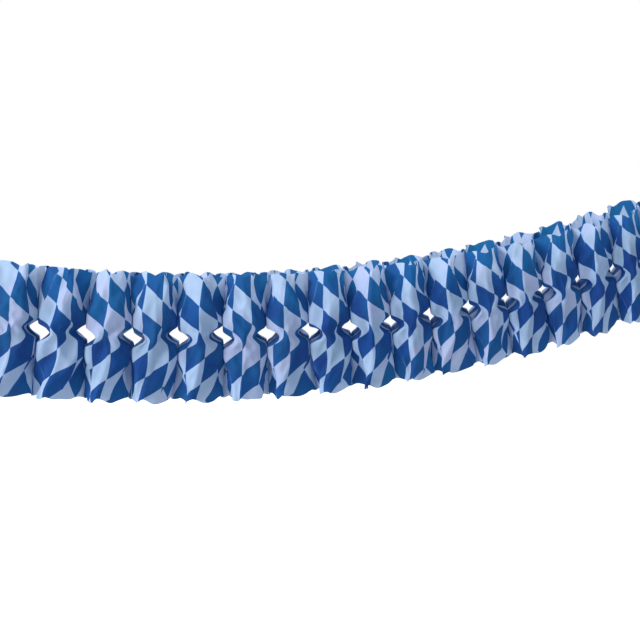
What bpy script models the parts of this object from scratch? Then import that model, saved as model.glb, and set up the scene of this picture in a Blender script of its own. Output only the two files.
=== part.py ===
"""Tissue paper garland: a hanging run of flattened paper sleeves, glued wall to wall.

Each sleeve is one tube of tissue, open at its scalloped top and bottom, that was folded flat at its
front and back. Four glue spots hold it to each neighbour, and a stiff card closes each end of the run.
Pulled out to hang, two neighbours part at the front and back of their walls above and below the spots,
where a crease runs from each spot to the scalloped edge, and lean on each other in the middle. Between
the upper and lower spots they leave a small eye that can be seen through.

X runs along the garland, -Y is the front and +Z is up. The origin is the middle of the left card's
outer face, where the garland is pinned up.
"""
import math

import bmesh
import bpy
import numpy as np
from mathutils import Matrix, Vector

# The run of sleeves
SLEEVES = 18
CURVE_SIZE = 1.815          # the catenary's parameter, its radius at the lowest point
LOWEST_AT = 0.288           # from the left card to the lowest point, along the curve
SLANT = (-3.0, 30.0)        # how far the walls turn from square to the run, left and right, degrees
ROLL = (-3.0, 14.0)         # how far the run is twisted towards the front, left and right, degrees

# One sleeve of tissue
PAPER_DEPTH = 0.097         # folded flat, from the front fold to the back fold
PAPER_HEIGHT = 0.151
PAPER_THICKNESS = 0.0004
FOLD_LIFT = 0.0105          # level with the glue, how far a fold still stands out past the spots
FOLD_LIFT_AT_EDGE = 0.0037  # at the scalloped edge, how far it stands out past the creases
SCALLOPS_PER_WALL = 3
SCALLOP_DEPTH = 0.005

# The glue spots, two near and two far on each wall, above and below the middle
SPOT_NEAR_EDGE = 0.014      # from the wall's upright middle line, along the paper
SPOT_FAR_EDGE = 0.020
SPOT_LOW_EDGE = 0.012       # from the wall's level middle line
SPOT_HIGH_EDGE = 0.025
GLUE_GAP = 0.0003

# How far two neighbouring walls part from each other
LEANING_GAP = 0.0015        # along their upright middle lines, above and below the eye
VEE_GAP = 0.026             # at the scalloped edge, from crease to crease
EYE_GAP = 0.022             # at the eye, as far out as the spots' near edges
EYE_MOUTH_GAP = 0.023       # at the eye, in line with the spots' far edges

# The end cards
CARD_MARGIN = 0.001         # how far the flat paper reaches past the card
CARD_THICKNESS = 0.0008
CARD_CORNER = 0.006
CARD_CORNER_STEPS = 4

PAPER_COLOURS = {"blue": (0.045, 0.13, 0.48, 1.0), "white": (0.72, 0.76, 0.88, 1.0)}
CARD_COLOUR = (0.78, 0.78, 0.74, 1.0)


def clear_scene():
    for thing in list(bpy.data.objects):
        bpy.data.objects.remove(thing, do_unlink=True)


def paper_material(name, colour, roughness):
    material = bpy.data.materials.new(name)
    material.use_nodes = True
    shader = material.node_tree.nodes["Principled BSDF"]
    shader.inputs["Base Color"].default_value = colour
    shader.inputs["Roughness"].default_value = roughness
    shader.inputs["Metallic"].default_value = 0.0
    return material


def blend(ends, share):
    return ends[0] + (ends[1] - ends[0]) * share


def flap():
    """The paper between a glue spot and the fold."""
    return PAPER_DEPTH / 2 - SPOT_FAR_EDGE


def pitch():
    """From one glue plane to the next along the curve, as far as the flaps let the run be pulled out."""
    return 2 * math.sqrt(flap() ** 2 - FOLD_LIFT ** 2)


def glue_plane(number):
    """The plane where sleeve number-1 meets sleeve number: its middle, and its axes as columns.

    The axes are the wall's normal, which points along the run, its depth, which points to the back,
    and its height.
    """
    along = number * pitch() - LOWEST_AT
    share = number / SLEEVES
    x = CURVE_SIZE * math.asinh(along / CURVE_SIZE)
    z = CURVE_SIZE * math.cosh(x / CURVE_SIZE)
    climb = math.atan2(along, CURVE_SIZE)
    turn = Matrix.Rotation(-climb, 3, "Y")
    turn = turn @ Matrix.Rotation(math.radians(blend(ROLL, share)), 3, "X")
    turn = turn @ Matrix.Rotation(-math.radians(blend(SLANT, share)), 3, "Z")
    return Vector((x, 0.0, z)), turn


def card_face_middle(number, side):
    """The middle of a card's outer face, where side is -1 for the left end and 1 for the right."""
    middle, axes = glue_plane(number)
    return middle + axes @ Vector((side * (GLUE_GAP / 2 + CARD_THICKNESS), 0.0, 0.0))


def origin():
    return card_face_middle(0, -1)


def edge_crease():
    """How far along the paper the crease is from the wall's middle, at the scalloped edge."""
    return PAPER_DEPTH / 2 - math.hypot(pitch() / 2 - VEE_GAP / 2, FOLD_LIFT_AT_EDGE)


def parted_section(share):
    """One wall's half section between the spots' level and the scalloped edge, as share goes 0 to 1.

    It is a list of (paper distance from the wall's middle, offset from the glue plane, depth) points.
    The wall is straight from its middle to the crease, and from there to the fold, and keeps its length.
    """
    crease = blend((SPOT_FAR_EDGE, edge_crease()), share)
    half_gap = blend((0.0, VEE_GAP / 2), share)
    crease_depth = math.sqrt(crease ** 2 - half_gap ** 2)
    band = PAPER_DEPTH / 2 - crease
    fold_depth = crease_depth + math.sqrt(band ** 2 - (pitch() / 2 - half_gap) ** 2)
    return [
        (0.0, LEANING_GAP / 2, 0.0),
        (crease, half_gap, crease_depth),
        (PAPER_DEPTH / 2, pitch() / 2, fold_depth),
    ]


def spot_section():
    """The same where the glue is: the wall lies on the glue plane from one edge of a spot to the other."""
    middle, spot, fold = parted_section(0.0)
    return [middle, (SPOT_NEAR_EDGE, 0.0, SPOT_NEAR_EDGE), spot, fold]


def eye_section():
    """The same level with the eye, where the slack paper between spot and fold is bowed outwards."""
    mouth = Vector((EYE_MOUTH_GAP / 2, SPOT_FAR_EDGE))
    fold = Vector(spot_section()[-1][1:])
    slack = max(flap() ** 2 - (fold - mouth).length_squared, 0.0)
    outwards = Vector((mouth.y - fold.y, fold.x - mouth.x)).normalized()
    cheek = (mouth + fold) / 2 + outwards * math.sqrt(slack) / 2
    return [
        (0.0, EYE_GAP / 2, 0.0),
        (SPOT_NEAR_EDGE, EYE_GAP / 2, SPOT_NEAR_EDGE),
        (SPOT_FAR_EDGE, *mouth),
        (SPOT_FAR_EDGE + flap() / 2, *cheek),
        (PAPER_DEPTH / 2, *fold),
    ]


def paper_columns():
    """The paper distances from the wall's middle at which every section has a point."""
    crease = edge_crease()
    return [
        0.0,
        SPOT_NEAR_EDGE,
        SPOT_FAR_EDGE,
        (SPOT_FAR_EDGE + crease) / 2,
        crease,
        (crease + PAPER_DEPTH / 2) / 2,
        PAPER_DEPTH / 2,
    ]


def on_columns(section):
    """Reads a section at the paper columns, as (offset, depth) pairs."""
    places, offsets, depths = zip(*section)
    columns = paper_columns()
    return list(zip(np.interp(columns, places, offsets), np.interp(columns, places, depths)))


def edge_height(distance):
    """The height of the scalloped edge at a place along the wall, from the middle of the sleeve."""
    lobe = PAPER_DEPTH / SCALLOPS_PER_WALL
    notch = 0.5 - 0.5 * math.cos(2 * math.pi * distance / lobe)
    return PAPER_HEIGHT / 2 - SCALLOP_DEPTH * notch


def wall_levels():
    """The levels of a wall from bottom to top: a half section and the height of each of its points."""
    at_spots = on_columns(spot_section())
    edge = [edge_height(distance) for distance in paper_columns()]
    upper = [
        (at_spots, [SPOT_LOW_EDGE] * len(edge)),
        (at_spots, [SPOT_HIGH_EDGE] * len(edge)),
        (on_columns(parted_section(1.0)), edge),
    ]
    lower = [(section, [-height for height in heights]) for section, heights in reversed(upper)]
    return lower + [(on_columns(eye_section()), [0.0] * len(edge))] + upper


def sleeve_rings():
    """The sleeve's rings from bottom to top, each a loop of points in the sleeve's own box.

    A point's x runs from the left glue plane to the right one, and the walls leave half of the glue
    gap to each.
    """
    rings = []
    squeeze = 1 - GLUE_GAP / pitch()
    for section, heights in wall_levels():
        half = [(GLUE_GAP / 2 + offset * squeeze, depth, z) for (offset, depth), z in zip(section, heights)]
        wall = [(x, -y, z) for x, y, z in reversed(half)] + half[1:]
        facing = [(pitch() - x, y, z) for x, y, z in reversed(wall)]
        rings.append(wall[:-1] + facing[:-1])
    return rings


def place_in_run(point, number):
    """Carries a point of a sleeve's own box to its place between two glue planes."""
    x, y, z = point
    left_middle, left_axes = glue_plane(number)
    right_middle, right_axes = glue_plane(number + 1)
    on_left = left_middle + left_axes @ Vector((0.0, y, z))
    on_right = right_middle + right_axes @ Vector((0.0, y, z))
    return blend((on_left, on_right), x / pitch()) - origin()


def add_object(name, shape, material):
    mesh = bpy.data.meshes.new(name)
    shape.to_mesh(mesh)
    shape.free()
    mesh.materials.append(material)
    thing = bpy.data.objects.new(name, mesh)
    bpy.context.collection.objects.link(thing)
    return thing


def make_sleeve(number, material):
    shape = bmesh.new()
    rings = []
    for ring in sleeve_rings():
        rings.append([shape.verts.new(place_in_run(point, number)) for point in ring])
    around = len(rings[0])
    for lower, upper in zip(rings, rings[1:]):
        for place in range(around):
            beside = (place + 1) % around
            shape.faces.new((lower[beside], lower[place], upper[place], upper[beside]))
    bmesh.ops.recalc_face_normals(shape, faces=shape.faces)
    sleeve = add_object(f"sleeve_{number + 1:02d}", shape, material)
    solid = sleeve.modifiers.new("paper", "SOLIDIFY")
    solid.thickness = PAPER_THICKNESS
    solid.offset = -1.0
    solid.use_rim = True
    return sleeve


def card_outline():
    """The card's outline as (depth, height) points, with round corners."""
    points = []
    for corner, (side, end) in enumerate([(1, 1), (-1, 1), (-1, -1), (1, -1)]):
        across = side * (PAPER_DEPTH / 2 - CARD_MARGIN - CARD_CORNER)
        up = end * (PAPER_HEIGHT / 2 - CARD_MARGIN - CARD_CORNER)
        for step in range(CARD_CORNER_STEPS + 1):
            angle = math.radians(90 * (corner + step / CARD_CORNER_STEPS))
            points.append((across + CARD_CORNER * math.cos(angle), up + CARD_CORNER * math.sin(angle)))
    return points


def make_card(name, number, side, material):
    """A stiff card glued to the outer wall of an end sleeve, at its four spots."""
    middle, axes = glue_plane(number)
    shape = bmesh.new()
    inner = side * GLUE_GAP / 2
    corners = [middle + axes @ Vector((inner, y, z)) - origin() for y, z in card_outline()]
    face = shape.faces.new([shape.verts.new(corner) for corner in corners])
    outwards = axes @ Vector((side * CARD_THICKNESS, 0.0, 0.0))
    raised = bmesh.ops.extrude_face_region(shape, geom=[face], use_keep_orig=True)
    moved = [part for part in raised["geom"] if isinstance(part, bmesh.types.BMVert)]
    bmesh.ops.translate(shape, verts=moved, vec=outwards)
    bmesh.ops.recalc_face_normals(shape, faces=shape.faces)
    return add_object(name, shape, material)


def main():
    clear_scene()
    papers = [paper_material(f"tissue_{name}", colour, 0.85) for name, colour in PAPER_COLOURS.items()]
    card_stock = paper_material("end_card", CARD_COLOUR, 0.7)
    make_card("end_card_left", 0, -1, card_stock)
    for number in range(SLEEVES):
        make_sleeve(number, papers[number % len(papers)])
    make_card("end_card_right", SLEEVES, 1, card_stock)


main()
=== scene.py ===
import math

import bpy
import numpy as np
from mathutils import Matrix, Vector


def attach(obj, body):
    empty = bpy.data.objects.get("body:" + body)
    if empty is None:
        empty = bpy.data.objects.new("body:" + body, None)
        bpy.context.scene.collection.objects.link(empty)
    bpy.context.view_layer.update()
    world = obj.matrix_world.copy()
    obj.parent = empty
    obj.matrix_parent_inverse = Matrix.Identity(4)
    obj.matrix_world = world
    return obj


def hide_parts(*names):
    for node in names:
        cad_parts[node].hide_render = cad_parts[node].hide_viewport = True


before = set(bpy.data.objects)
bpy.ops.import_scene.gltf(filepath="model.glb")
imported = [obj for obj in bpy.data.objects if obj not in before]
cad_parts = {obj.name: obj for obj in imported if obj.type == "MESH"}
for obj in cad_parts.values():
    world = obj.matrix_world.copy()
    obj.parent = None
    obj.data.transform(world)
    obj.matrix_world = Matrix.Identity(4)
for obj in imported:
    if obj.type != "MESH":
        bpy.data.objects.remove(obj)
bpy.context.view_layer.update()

# Lengths are in metres. The first two groups are as the part has them.

# The run of sleeves
SLEEVES = 18
CURVE_SIZE = 1.815          # the catenary's parameter, its radius at the lowest point
LOWEST_AT = 0.288           # from the left card to the lowest point, along the curve
SLANT = (-3.0, 30.0)        # how far the walls turn from square to the run, left and right, degrees
ROLL = (-3.0, 14.0)         # how far the run is twisted towards the front, left and right, degrees
CARD_THICKNESS = 0.0008

# One sleeve of tissue, and its glue spots from the wall's middle lines
PAPER_DEPTH = 0.097         # folded flat, from the front fold to the back fold
PAPER_HEIGHT = 0.151
HALF_DEPTH = PAPER_DEPTH / 2
HALF_HEIGHT = PAPER_HEIGHT / 2
FOLD_LIFT = 0.0105          # level with the glue, how far a fold still stands out past the spots
SCALLOPS_PER_WALL = 3
SCALLOP_DEPTH = 0.005
SPOT_NEAR_EDGE = 0.014
SPOT_FAR_EDGE = 0.020
SPOT_LOW_EDGE = 0.012
SPOT_HIGH_EDGE = 0.025
GLUE_GAP = 0.0003
VEE_GAP = 0.026             # at the scalloped edge, from crease to crease
EYE_GAP = 0.022             # at the eye, as far out as the spots' near edges
EYE_MOUTH_GAP = 0.023       # at the eye, in line with the spots' far edges

# How finely a sleeve is meshed before it is subdivided
STEPS_PER_WALL = 44
STEPS_UP = 60
MIDDLE_FINENESS = 0.35      # how much closer the rows lie at the middle level than evenly spread

# A wall's half sections, level with the eye, with the spots and at the scalloped edge. Each gives
# the distance from the glue plane and the depth at PLACES, which are distances along the paper
# from the wall's upright middle line. The last place is the fold, and its offset is half the pitch.
# The wall leans on its neighbour as far as LEANING. The front band starts at the crease, which lies
# nearer the middle line at the eye, and still nearer at the spots.
LEANING = 0.008
CREASE = 0.0340
CREASE_AT_EYE = 0.0285
CREASE_AT_SPOTS = 0.0235
PLACES = (0.0, LEANING, SPOT_NEAR_EDGE, SPOT_FAR_EDGE, CREASE, HALF_DEPTH)
VEE_WIDENING = 0.0033       # how much farther than in the part a crease stands from the glue plane
EYE_OFFSETS = (EYE_GAP / 2, EYE_GAP / 2, EYE_GAP / 2, EYE_MOUTH_GAP / 2, 0.0128)
EYE_DEPTHS = (0.0, 0.008, 0.014, 0.020, 0.0288, 0.0345)
SPOT_OFFSETS = (0.0006, 0.0003, 0.0, 0.0, 0.0031)
SPOT_DEPTHS = (0.0, 0.008, 0.014, 0.020, 0.0229, 0.0325)
EDGE_OFFSETS = (0.0003, 0.0004, 0.0010, 0.0056, VEE_GAP / 2 + VEE_WIDENING)
EDGE_DEPTHS = (0.0, 0.008, 0.0138, 0.0182, 0.0300, 0.0345)

# The outline of the eyes and of the gaps above and below the spots
EYE_HALF_HEIGHT = 0.0092
EYE_WIDENING = 0.0026       # makes up for what softening the folds takes off its half width
EYE_POWERS = (0.75, 0.45)   # at the run's left and right end: 1 is a lozenge, 0 a rectangle
EYE_DIPS = (0.0, 0.0032)    # how much lower its front is than its middle, left and right
OPENING_POWER = 0.8         # how soon the walls part above and below the spots: less is sooner
SOONER_POWER = 0.45         # and how soon a sleeve's right wall does above them

# What no two sleeves have the same
SEED = 11
JOINT_SEED = 2              # keeps the glue planes' random numbers apart from the sleeves'
VEE_CHANGE = 0.18           # of the gap between creases, as a share
EYE_CHANGE = 0.0009         # of the eye's half width
EYE_SLANT = 0.0022          # how much lower a left wall opens widest, and a right wall higher
EYE_SLANT_CHANGE = 0.0016
FOLD_LEANS = (0.0050, -0.0090)  # how far right the front folds lean at the upper and lower edge
FOLD_SWAY = 0.0026          # of the fold at the scalloped edge, along the run and in depth
SWAY_DEPTH = 0.0345         # the depth at which a fold sways fully

# How the two walls at a glue plane go to one side together
LEAN = 0.0034
LEAN_LENGTH = 0.052         # from one side to the same side again, from front to back
LEAN_REACH = 0.6 * HALF_HEIGHT  # from the spots to where they lean fully
LEAN_LOST = 0.7             # the share of the lean that is gone at the crease
BOW = 0.0026                # how far they bow between the near and the far spots
BOW_STARTS = 0.006          # from the eye to where they bow fully

# Wrinkles, and the scalloped edge
WRINKLE_LENGTHS = (0.041, 0.023, 0.012)
WRINKLE_HEIGHTS = (0.0017, 0.0008, 0.0003)
WRINKLES_EACH = 2
WRINKLE_ANGLE = 0.9         # the most that one slants from upright, in radians
WRINKLE_REACH = 0.016       # how far from a glue spot the wrinkles reach their full height
WRINKLES_LOST = 0.5         # the share of their height that is gone at the scalloped edge
EDGE_REACH = 0.014          # how far in from the scalloped edge the curl starts
EDGE_CURL = 0.0013
EDGE_CURL_LENGTHS = (0.018, 0.026)
EDGE_RAGGEDNESS = 0.0015
RAGGED_WAVES = ((1.4, 190, 1), (0.5, 400, 2))   # each one's height, waves and share of the phase

# The lozenge print, and how the pull of the glue spots turns it on the paper
LOZENGE_WIDTH = 0.0272
LOZENGE_HEIGHT = 0.0535
PRINT_TURN = 27.0           # degrees, one way in the upper half and the other way in the lower
PRINT_TURN_REACH = 0.014    # from the middle level to where the print has turned fully
PRINT_START = (0.0137, 0.0461)  # at the front fold of the first sleeve: across and up
PRINT_STEP = 0.01275        # how far the print moves along the paper on every other sleeve
PRINT_CHANGE = (0.003, 0.004)
PRINT_OVERLAP = 0.0045      # how far past the crease the band's print reaches, level with the spots

# The colours of the tissue, and how strong its effects are
BLUE = (0.001, 0.044, 0.235)
DEEP_BLUE = (0.003, 0.030, 0.195)
GREENER_BLUE = (0.002, 0.066, 0.235)
WHITE = (0.34, 0.485, 0.73)
GREYER_WHITE = (0.27, 0.41, 0.60)
WARMER_WHITE = (0.37, 0.445, 0.69)
BLUE_LIT_THROUGH = (0.02, 0.26, 0.55)
WHITE_LIT_THROUGH = (0.62, 0.74, 0.95)
THINNESS = 0.24             # the share of the light that the paper lets through
FIBRE = (0.45, 0.55, 0.80)
FIBRE_STRENGTH = 0.03
# A painted highlight along the band's folded edge, where light catches the fold: its colour,
# strength and width
FOLD_HIGHLIGHT = (0.30, 0.46, 0.78)
FOLD_HIGHLIGHT_STRENGTH = 0.25
FOLD_HIGHLIGHT_WIDTH = 0.0013

CARD = (0.74, 0.73, 0.68)
CARD_SHADE = (0.66, 0.65, 0.60)
CARD_FLECK = (0.42, 0.40, 0.36)

# The camera, from the lowest point of the run's curve, in metres and degrees
CAMERA_PLACE = (-0.0631, -0.9681, 0.0667)
CAMERA_TURN = 12.4
CAMERA_TILT = -2.82
FOCAL_PIXELS = 800.0
PICTURE_PIXELS = 640.0
SENSOR = 36.0

# The lamps, from the point that they face: name, place, size, watts and colour
LIT_POINT = (0.2, 0.0, 0.0)     # from the lowest point of the run's curve
LAMPS = (("key", (-3.9, -1.6, 1.95), 1.3, 226.0, (1.0, 0.98, 0.95)),
         ("fill", (1.1, -1.5, 0.5), 1.2, 6.0, (0.9, 0.95, 1.0)),
         ("back", (0.1, 1.1, 1.3), 0.9, 26.0, (1.0, 1.0, 1.0)))
SKY = (0.9, 0.95, 1.0)
SKY_STRENGTH = 0.33
SEEN_WHITE = (1.0, 1.0, 1.0)    # what the camera sees behind the object
FLOOR_DROP = 0.45           # from the lowest point of the run's curve to the floor
FLOOR_SIZE = 12.0
FLOOR = (0.8, 0.8, 0.8)
FLOOR_GLOW = 0.8            # what the camera sees on top of the light that falls on it


def blend(ends, share):
    return ends[0] + (ends[1] - ends[0]) * share


def smooth(share):
    share = np.clip(share, 0, 1)
    return share * share * (3 - 2 * share)


def flap():
    """The paper between a glue spot and the fold."""
    return HALF_DEPTH - SPOT_FAR_EDGE


def pitch():
    """The distance between two glue planes."""
    return 2 * math.sqrt(flap() ** 2 - FOLD_LIFT ** 2)


def glue_plane(number):
    """The middle of the plane between sleeves number-1 and number, and its axes as columns."""
    along = number * pitch() - LOWEST_AT
    share = number / SLEEVES
    x = CURVE_SIZE * math.asinh(along / CURVE_SIZE)
    z = CURVE_SIZE * math.cosh(x / CURVE_SIZE)
    turn = Matrix.Rotation(-math.atan2(along, CURVE_SIZE), 3, "Y")
    turn = turn @ Matrix.Rotation(math.radians(blend(ROLL, share)), 3, "X")
    turn = turn @ Matrix.Rotation(-math.radians(blend(SLANT, share)), 3, "Z")
    return Vector((x, 0.0, z)), turn


def card_face():
    """The middle of the left card's outer face, from the catenary's own origin."""
    middle, axes = glue_plane(0)
    return middle - axes @ Vector((GLUE_GAP / 2 + CARD_THICKNESS, 0.0, 0.0))


ORIGIN = card_face()
LOWEST_POINT = Vector((0.0, 0.0, CURVE_SIZE)) - ORIGIN


def edge_height(out):
    """The height of the scalloped edge along a wall: arcs that meet in small notches."""
    lobe = PAPER_DEPTH / SCALLOPS_PER_WALL
    arc = np.abs(np.cos(np.pi * out / lobe))
    return HALF_HEIGHT - SCALLOP_DEPTH * (1 - arc)


def wall_habit(number, random):
    """What sets one wall of a sleeve apart from the others."""
    return {
        "share": number / (SLEEVES - 1),
        "vee_sizes": 1 + VEE_CHANGE * random.uniform(-1, 1, 2),
        "eye_widening": EYE_WIDENING + EYE_CHANGE * random.uniform(-1, 1),
        "eye_slant": EYE_SLANT + EYE_SLANT_CHANGE * random.uniform(-1, 1),
    }


def wall_shape(distance, height_share, side, habit):
    """Offsets of a wall's points from the glue plane, their depths and their heights.

    distance runs from the front fold to the back fold, 0 in the middle. height_share runs from -1
    at the lower edge to 1 at the upper one. side is -1 for a sleeve's left wall and 1 for its right
    one. The fourth thing returned is how far outside the start of the band's print a point is.
    """
    out = np.abs(distance)
    edge = edge_height(out)
    height = height_share * edge
    up = np.abs(height)
    dip = blend(EYE_DIPS, habit["share"]) * np.clip(distance / SPOT_FAR_EDGE, -1, 1)
    off_middle = np.abs(height - dip - habit["eye_slant"] * side)
    power = blend(EYE_POWERS, habit["share"])
    opening = np.clip(1 - off_middle / EYE_HALF_HEIGHT, 0, 1) ** power
    sooner = (height > 0) & (side > 0)
    parting = np.clip((up - SPOT_HIGH_EDGE) / (edge - SPOT_HIGH_EDGE), 0, 1)
    parting = parting ** np.where(sooner, SOONER_POWER, OPENING_POWER)
    vee_size = np.where(height > 0, *habit["vee_sizes"])
    vee_size = blend((1.0, vee_size), np.clip(up / SPOT_HIGH_EDGE, 0, 1))

    def over_levels(eye, spots, top):
        return spots + (eye - spots) * opening + (top - spots) * parting

    crease = over_levels(CREASE_AT_EYE, CREASE_AT_SPOTS, CREASE)
    share_inside = (out - SPOT_FAR_EDGE) / (crease - SPOT_FAR_EDGE)
    share_outside = (out - crease) / (HALF_DEPTH - crease)
    inside = share_inside * (CREASE - SPOT_FAR_EDGE) + SPOT_FAR_EDGE
    outside = share_outside * (HALF_DEPTH - CREASE) + CREASE
    place = np.where(out < SPOT_FAR_EDGE, out, np.where(out < crease, inside, outside))

    def read(*levels):
        return over_levels(*(np.interp(place, PLACES, values) for values in levels))

    fold = (pitch() / 2,)
    offset = read(EYE_OFFSETS + fold, SPOT_OFFSETS + fold, EDGE_OFFSETS + fold)
    to_fold = np.clip((place - CREASE) / (HALF_DEPTH - CREASE), 0, 1)
    sized = offset * blend((vee_size, 1.0), to_fold)
    offset = blend((sized, offset + habit["eye_widening"] * (1 - to_fold)), opening)
    depth = read(EYE_DEPTHS, SPOT_DEPTHS, EDGE_DEPTHS)
    return offset, np.sign(distance) * depth, height, out - crease + PRINT_OVERLAP * (1 - parting)


def joint_lean(plane, depth, height):
    """How far to one side the two walls that meet at a glue plane go, above and below the eye."""
    if plane in (0, SLEEVES):
        return np.zeros_like(depth)
    random = np.random.default_rng((SEED, plane, JOINT_SEED))
    phases = random.uniform(0, 2 * math.pi, 2)
    phase = np.where(height > 0, *phases)
    up = np.abs(height)
    parted = smooth((up - SPOT_HIGH_EDGE) / LEAN_REACH)
    to_crease = smooth((np.abs(depth) - SPOT_FAR_EDGE) / (CREASE - SPOT_FAR_EDGE))
    inside = 1 - LEAN_LOST * to_crease
    lean = LEAN * parted * inside * np.sin(2 * math.pi * depth / LEAN_LENGTH + phase)
    spot_middle = (SPOT_NEAR_EDGE + SPOT_FAR_EDGE) / 2
    between = np.clip(depth / spot_middle, -1, 1)
    bow = BOW * np.sin(math.pi * between) * smooth((up - EYE_HALF_HEIGHT) / BOW_STARTS)
    return lean + random.choice((-1, 1)) * bow


def wrinkles(along, up, random):
    """How far the paper stands off its even shape: creases of each length, at random angles."""
    field = np.zeros_like(along)
    for length, height in zip(WRINKLE_LENGTHS, WRINKLE_HEIGHTS):
        for _ in range(WRINKLES_EACH):
            angle = random.uniform(-WRINKLE_ANGLE, WRINKLE_ANGLE)
            phase = random.uniform(0, 2 * math.pi)
            across = along * math.cos(angle) + up * math.sin(angle)
            field += height * (1 - 2 * np.abs(np.sin(math.pi * across / length + phase)))
    return field


def free_share(along, up):
    """How free the paper is to stand off: 0 at the glue spots and along the back fold."""
    out = np.abs(np.abs(along) - HALF_DEPTH)
    aside = np.maximum(np.maximum(SPOT_NEAR_EDGE - out, out - SPOT_FAR_EDGE), 0)
    above = np.maximum(np.maximum(SPOT_LOW_EDGE - np.abs(up), np.abs(up) - SPOT_HIGH_EDGE), 0)
    from_back = np.clip((PAPER_DEPTH - np.abs(along)) / WRINKLE_REACH, 0, 1)
    off_neighbour = smooth((out - LEANING / 2) / LEANING)
    leaning = np.where(np.abs(up) > SPOT_LOW_EDGE, off_neighbour, 1.0)
    return smooth(np.hypot(aside, above) / WRINKLE_REACH) * from_back * leaning


def surface_normals(points):
    along = np.gradient(points, axis=1)
    up = np.gradient(points, axis=0)
    normals = np.cross(along, up)
    return normals / np.maximum(np.linalg.norm(normals, axis=-1, keepdims=True), 1e-9)


def soften(points):
    """Rounds the folds of a closed ring of points, and the bends up a wall, a little."""
    ring = points[:, :-1]
    ring = ring / 2 + (np.roll(ring, 1, axis=1) + np.roll(ring, -1, axis=1)) / 4
    points = np.concatenate([ring, ring[:, :1]], axis=1)
    points[1:-1] = points[1:-1] / 2 + (points[2:] + points[:-2]) / 4
    return points


def print_place(along, up, number, random):
    """Where points of the paper lie on the print, whose lozenges stand upright there, in metres.

    Gives the place for the front and back bands first. The pull of the glue spots turns those one
    way above the middle level and the other way below, and shears the back band's lozenges. Then
    it gives the place for the walls, which nothing turns.
    """
    turn = math.radians(PRINT_TURN)
    near = np.minimum(np.abs(up) / PRINT_TURN_REACH, 1)
    beyond = np.maximum(np.abs(up) - PRINT_TURN_REACH, 0)
    radius = PRINT_TURN_REACH / turn
    shifted = radius * (1 - np.cos(turn * near)) + beyond * math.sin(turn)
    climbed = np.sign(up) * (radius * np.sin(turn * near) + beyond * math.cos(turn))
    angle = -np.sign(up) * turn * near
    to_fold = np.minimum(np.abs(along), PAPER_DEPTH - np.abs(along))
    nearest_back = np.abs(along) > HALF_DEPTH
    from_fold = along - PAPER_DEPTH * np.sign(along) * nearest_back
    odd = number % 2
    change = random.uniform(-1, 1, 2) * PRINT_CHANGE
    step = change[0] - odd * PRINT_STEP
    turned_x = (from_fold + step) * np.cos(angle) + shifted
    turned_y = climbed + np.sign(along) * to_fold * np.sin(angle)
    x = PRINT_START[0] + odd * LOZENGE_WIDTH / 2
    y = PRINT_START[1] + odd * LOZENGE_HEIGHT / 2 + change[1]
    return np.stack([turned_x + x, turned_y + y, along + step + x, up + y], axis=-1)


def sway_folds(points, up, random):
    """Moves the folds aside towards the scalloped edges, and the front ones in depth too."""
    sway = random.uniform(-1, 1, (2, 2)) * FOLD_SWAY
    at_fold = smooth((np.abs(points[..., 1]) - SPOT_FAR_EDGE) / (SWAY_DEPTH - SPOT_FAR_EDGE))
    to_edge = smooth((np.abs(up) - SPOT_HIGH_EDGE) / (HALF_HEIGHT - SPOT_HIGH_EDGE))
    forwards = -np.sign(points[..., 1])
    for end, moves, lean in zip((up > 0, up < 0), sway, FOLD_LEANS):
        points[..., 0] += end * at_fold * to_edge * (moves[0] + forwards * lean)
        points[..., 1] += end * at_fold * to_edge * moves[1] * (points[..., 1] < 0)


def crumple(points, along, up, random):
    """Adds the wrinkles, the curl of the edges and their raggedness."""
    free = free_share(along, up)
    phase, length = random.uniform(0, 2 * math.pi), random.uniform(*EDGE_CURL_LENGTHS)
    near_edge = smooth((np.abs(up) - HALF_HEIGHT + EDGE_REACH) / EDGE_REACH)
    curl = EDGE_CURL * near_edge * np.sin(2 * math.pi * along / length + phase + np.sign(up))
    rise = (wrinkles(along, up, random) * (1 - WRINKLES_LOST * near_edge) + curl) * free
    points = points + surface_normals(points) * rise[..., None]
    ragged = sum(height * np.sin(along * waves + times * phase)
                 for height, waves, times in RAGGED_WAVES)
    points[..., 2] += EDGE_RAGGEDNESS / 2 * ragged * near_edge * np.sign(up) * free
    points[:, -1] = points[:, 0]
    return points


def sleeve_grid(number):
    """A sleeve in its own box, as rows of points around it, and each point's six UV values.

    A row starts at the back fold, runs along the left wall to the front fold and returns along the
    right wall. Its last point meets its first.
    """
    random = np.random.default_rng((SEED, number))
    left = np.linspace(HALF_DEPTH, -HALF_DEPTH, STEPS_PER_WALL + 1)
    right = left[::-1][1:]
    share = np.linspace(-1, 1, STEPS_UP + 1)
    share = blend((share, share ** 3), MIDDLE_FINENESS)
    walls = []
    alongs = []
    creases = []
    for side, places in ((-1, left), (1, right)):
        distance, up = np.meshgrid(places, share)
        habit = wall_habit(number, random)
        offset, depth, height, beyond = wall_shape(distance, up, side, habit)
        offset = GLUE_GAP / 2 + offset * (1 - GLUE_GAP / pitch())
        x = offset if side < 0 else pitch() - offset
        walls.append(np.stack([x, depth, height], axis=-1))
        alongs.append(side * (distance + HALF_DEPTH))
        creases.append(np.stack([beyond, height], axis=-1))
    points = np.concatenate(walls, axis=1)
    along = np.concatenate(alongs, axis=1)
    up = points[..., 2].copy()
    flats = print_place(along, up, number, random)

    sway_folds(points, up, random)
    points = crumple(soften(points), along, up, random)
    points[..., 0] = np.clip(points[..., 0], GLUE_GAP / 2, pitch() - GLUE_GAP / 2)
    share = points[..., 0] / pitch()
    leans = [joint_lean(number + side, points[..., 1], points[..., 2]) for side in (0, 1)]
    points[..., 0] += blend(leans, share)
    return points, np.concatenate([flats, np.concatenate(creases, axis=1)], axis=-1)


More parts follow.
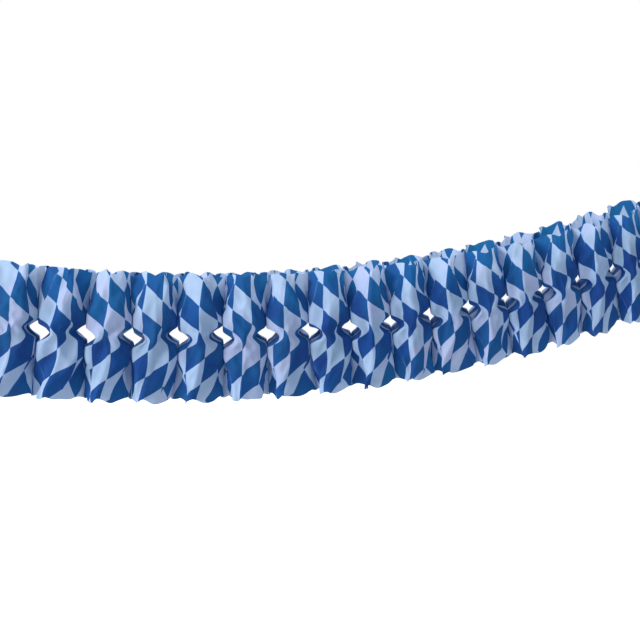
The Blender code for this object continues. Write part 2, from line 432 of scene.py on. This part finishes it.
def place_in_run(points, number):
    """Carries points of a sleeve's own box to their place between two glue planes."""
    share = points[..., 0:1] / pitch()
    placed = np.zeros_like(points)
    for plane, weight in ((number, 1 - share), (number + 1, share)):
        middle, axes = glue_plane(plane)
        inner = points.copy()
        inner[..., 0] = 0.0
        placed = placed + weight * (inner @ np.array(axes).T + np.array(middle))
    return placed - np.array(ORIGIN)


def add_sleeve(number, points, flats, material):
    """Makes a sleeve's mesh from its rows of points, with three UV maps in metres.

    "band print" and "wall print" are the places on the lozenge print, and "crease" says how far
    outside the start of the band's print a place is, and how high.
    """
    placed = place_in_run(points, number)
    rows, columns = placed.shape[:2]
    around = columns - 1
    vertices = placed[:, :around].reshape(-1, 3)
    faces = []
    corners = []
    for row in range(rows - 1):
        for column in range(around):
            beside = (column + 1) % around
            faces.append((row * around + column, row * around + beside,
                          (row + 1) * around + beside, (row + 1) * around + column))
            corners += [(row, column), (row, column + 1), (row + 1, column + 1), (row + 1, column)]
    name = f"paper_{number + 1:02d}"
    mesh = bpy.data.meshes.new(name)
    mesh.from_pydata(vertices.tolist(), [], faces)
    coordinates = np.array([flats[corner] for corner in corners], dtype=np.float32)
    for place, layer_name in enumerate(("band print", "wall print", "crease")):
        layer = mesh.uv_layers.new(name=layer_name)
        layer.data.foreach_set("uv", coordinates[:, 2 * place:2 * place + 2].ravel())
    mesh.materials.append(material)
    mesh.shade_smooth()
    piece = bpy.data.objects.new(name, mesh)
    bpy.context.collection.objects.link(piece)
    fine = piece.modifiers.new("fine", "SUBSURF")
    fine.levels = 1
    fine.render_levels = 1
    return piece


def node_makers(owner):
    """Short ways to add nodes to a material or a world: any node, a maths node and a colour mix."""
    owner.use_nodes = True
    nodes, links = owner.node_tree.nodes, owner.node_tree.links
    nodes.clear()

    def fill(socket, value):
        if isinstance(value, (int, float)):
            socket.default_value = value
        elif isinstance(value, tuple):
            socket.default_value = (*value, 1.0)
        else:
            links.new(value, socket)

    def node(kind, inputs=None, **settings):
        made = nodes.new(kind)
        for key, value in settings.items():
            setattr(made, key, value)
        for key, value in (inputs or {}).items():
            fill(made.inputs[key], value)
        return made

    def maths(operation, *values):
        return node("ShaderNodeMath", dict(enumerate(values)), operation=operation).outputs[0]

    def mix(factor, first, second):
        """A colour mix, whose factor, A and B for colours are sockets 0, 6 and 7."""
        inputs = {0: factor, 6: first, 7: second}
        return node("ShaderNodeMix", inputs, data_type="RGBA").outputs[2]

    return node, maths, mix


def tissue_material():
    """Thin printed tissue: lozenges worked out from the place on the print, and a painted highlight
    along the folds.
    """
    material = bpy.data.materials.new("printed_tissue")
    node, maths, mix = node_makers(material)

    def noise(scale, detail):
        inputs = {"Vector": place, "Scale": scale, "Detail": detail}
        return node("ShaderNodeTexNoise", inputs).outputs["Fac"]

    def steps(value, low, high):
        inputs = {"Value": value, "From Min": low, "From Max": high}
        return node("ShaderNodeMapRange", inputs, interpolation_type="SMOOTHSTEP").outputs[0]

    place = node("ShaderNodeTexCoord").outputs["Object"]
    bands, walls, creases = (node("ShaderNodeUVMap", uv_map=name).outputs[0]
                             for name in ("band print", "wall print", "crease"))

    # Which cell of the lozenge lattice a place is in. 4 and 5 are A and B of a mix of vectors.
    beyond, height = node("ShaderNodeSeparateXYZ", {0: creases}).outputs[:2]
    on_band = maths("GREATER_THAN", beyond, 0.0)
    sides = {0: on_band, 4: walls, 5: bands}
    chosen = node("ShaderNodeMix", sides, data_type="VECTOR").outputs[1]
    on_print = node("ShaderNodeSeparateXYZ", {0: chosen})
    across = maths("DIVIDE", on_print.outputs["X"], LOZENGE_WIDTH)
    up = maths("DIVIDE", on_print.outputs["Y"], LOZENGE_HEIGHT)
    rising = maths("FLOOR", maths("ADD", across, up))
    falling = maths("FLOOR", maths("SUBTRACT", across, up))
    odd = maths("PINGPONG", maths("ADD", rising, falling), 1.0)

    # The two inks, uneven over a few centimetres, with pale fibres in them
    patches = steps(noise(28.0, 2.0), 0.38, 0.62)
    clouds = steps(noise(17.0, 1.0), 0.48, 0.66)
    grain = noise(900.0, 4.0)
    fibres = steps(grain, 0.25, 0.75)
    blue = mix(clouds, mix(patches, BLUE, DEEP_BLUE), GREENER_BLUE)
    white = mix(clouds, mix(patches, WHITE, GREYER_WHITE), WARMER_WHITE)
    printed = mix(maths("MULTIPLY", fibres, FIBRE_STRENGTH), mix(odd, blue, white), FIBRE)
    through = mix(odd, BLUE_LIT_THROUGH, WHITE_LIT_THROUGH)

    # Painted highlight: a paler line along the band's folded edge, where light catches the fold,
    # here and there, above and below the spots
    creasing = noise(70.0, 3.0)
    from_line = maths("ABSOLUTE", beyond)
    fold_highlight = maths("MULTIPLY", steps(from_line, FOLD_HIGHLIGHT_WIDTH, 0.0), steps(creasing, 0.35, 0.6))
    off_spots = steps(maths("ABSOLUTE", height), SPOT_HIGH_EDGE, 2 * SPOT_HIGH_EDGE)
    fold_highlight = maths("MULTIPLY", fold_highlight, off_spots)
    printed = mix(maths("MULTIPLY", fold_highlight, FOLD_HIGHLIGHT_STRENGTH), printed, FOLD_HIGHLIGHT)

    heights = maths("ADD", maths("MULTIPLY", grain, 0.2), creasing)
    bump = node("ShaderNodeBump", {"Strength": 0.3, "Distance": 0.001, "Height": heights})
    normal = bump.outputs["Normal"]
    surface = node("ShaderNodeBsdfPrincipled", {"Base Color": printed, "Normal": normal,
                                                "Roughness": 0.78, "Specular IOR Level": 0.15})
    lit = node("ShaderNodeBsdfTranslucent", {"Color": through, "Normal": normal})
    mixed = node("ShaderNodeMixShader", {0: THINNESS, 1: surface.outputs[0], 2: lit.outputs[0]})
    node("ShaderNodeOutputMaterial", {"Surface": mixed.outputs[0]})
    return material


def card_material():
    """Uncoated grey-white card with a soft fibre grain and a few darker flecks."""
    material = bpy.data.materials.new("uncoated_card")
    node, maths, mix = node_makers(material)
    place = node("ShaderNodeTexCoord").outputs["Object"]
    grain, cloud = (node("ShaderNodeTexNoise", {"Vector": place, "Scale": scale, "Detail": detail})
                    for scale, detail in ((420.0, 5.0), (30.0, 2.0)))
    grain, cloud = grain.outputs["Fac"], cloud.outputs["Fac"]
    flecks = node("ShaderNodeMapRange", {"Value": grain, "From Min": 0.66, "From Max": 0.72})
    colour = mix(flecks.outputs[0], mix(cloud, CARD, CARD_SHADE), CARD_FLECK)
    bump = node("ShaderNodeBump", {"Strength": 0.2, "Distance": 0.0004, "Height": grain})
    surface = node("ShaderNodeBsdfPrincipled",
                   {"Base Color": colour, "Normal": bump.outputs["Normal"],
                    "Roughness": 0.82, "Specular IOR Level": 0.3})
    node("ShaderNodeOutputMaterial", {"Surface": surface.outputs[0]})
    return material


def finish_cards():
    card = card_material()
    for name in ("end_card_left", "end_card_right"):
        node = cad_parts[name]
        node.data.materials.clear()
        node.data.materials.append(card)


def make_sleeves():
    paper = tissue_material()
    for number in range(SLEEVES):
        points, flats = sleeve_grid(number)
        piece = add_sleeve(number, points, flats, paper)
        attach(piece, "root")
        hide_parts(f"sleeve_{number + 1:02d}")


def make_camera():
    data = bpy.data.cameras.new("camera")
    data.sensor_width = SENSOR
    data.sensor_fit = "HORIZONTAL"
    data.lens = FOCAL_PIXELS / PICTURE_PIXELS * SENSOR
    camera = bpy.data.objects.new("camera", data)
    camera.location = LOWEST_POINT + Vector(CAMERA_PLACE)
    camera.rotation_euler = (math.radians(90 + CAMERA_TILT), 0.0, -math.radians(CAMERA_TURN))
    bpy.context.collection.objects.link(camera)
    bpy.context.scene.camera = camera


def make_lamps():
    target = LOWEST_POINT + Vector(LIT_POINT)
    for name, place, size, power, colour in LAMPS:
        data = bpy.data.lights.new(name, "AREA")
        data.shape = "SQUARE"
        data.size = size
        data.energy = power
        data.color = colour
        light = bpy.data.objects.new(name, data)
        light.location = target + Vector(place)
        light.rotation_euler = (-Vector(place)).to_track_quat("-Z", "Y").to_euler()
        bpy.context.collection.objects.link(light)


def make_world():
    """A plain pale sky, which the camera, mirrors and glass see as white."""
    world = bpy.data.worlds.new("studio")
    bpy.context.scene.world = world
    node, maths, _ = node_makers(world)
    path = node("ShaderNodeLightPath").outputs
    lit = node("ShaderNodeBackground", {"Color": SKY, "Strength": SKY_STRENGTH})
    seen = node("ShaderNodeBackground", {"Color": SEEN_WHITE, "Strength": 1.0})
    direct = maths("MAXIMUM", path["Is Camera Ray"], path["Is Transmission Ray"])
    either = maths("MAXIMUM", direct, path["Is Glossy Ray"])
    mixed = node("ShaderNodeMixShader", {0: either, 1: lit.outputs[0], 2: seen.outputs[0]})
    node("ShaderNodeOutputWorld", {"Surface": mixed.outputs[0]})


def make_floor():
    """A pale floor, which takes the object's shadow and glows a little for the camera only."""
    half = FLOOR_SIZE / 2
    low = LOWEST_POINT.z - FLOOR_DROP
    outline = [(-half, -half, low), (half, -half, low), (half, half, low), (-half, half, low)]
    mesh = bpy.data.meshes.new("floor")
    mesh.from_pydata(outline, [], [(0, 1, 2, 3)])
    material = bpy.data.materials.new("floor")
    node, maths, _ = node_makers(material)
    matte = node("ShaderNodeBsdfPrincipled", {"Base Color": FLOOR, "Roughness": 0.9,
                                              "Specular IOR Level": 0.0})
    seen = maths("MULTIPLY", node("ShaderNodeLightPath").outputs["Is Camera Ray"], FLOOR_GLOW)
    glow = node("ShaderNodeEmission", {"Color": SEEN_WHITE, "Strength": seen})
    added = node("ShaderNodeAddShader", {0: matte.outputs[0], 1: glow.outputs[0]})
    node("ShaderNodeOutputMaterial", {"Surface": added.outputs[0]})
    mesh.materials.append(material)
    floor = bpy.data.objects.new("floor", mesh)
    bpy.context.collection.objects.link(floor)


make_camera()
make_lamps()
make_world()
make_floor()
make_sleeves()
finish_cards()
bpy.context.scene.view_settings.view_transform = "Standard"
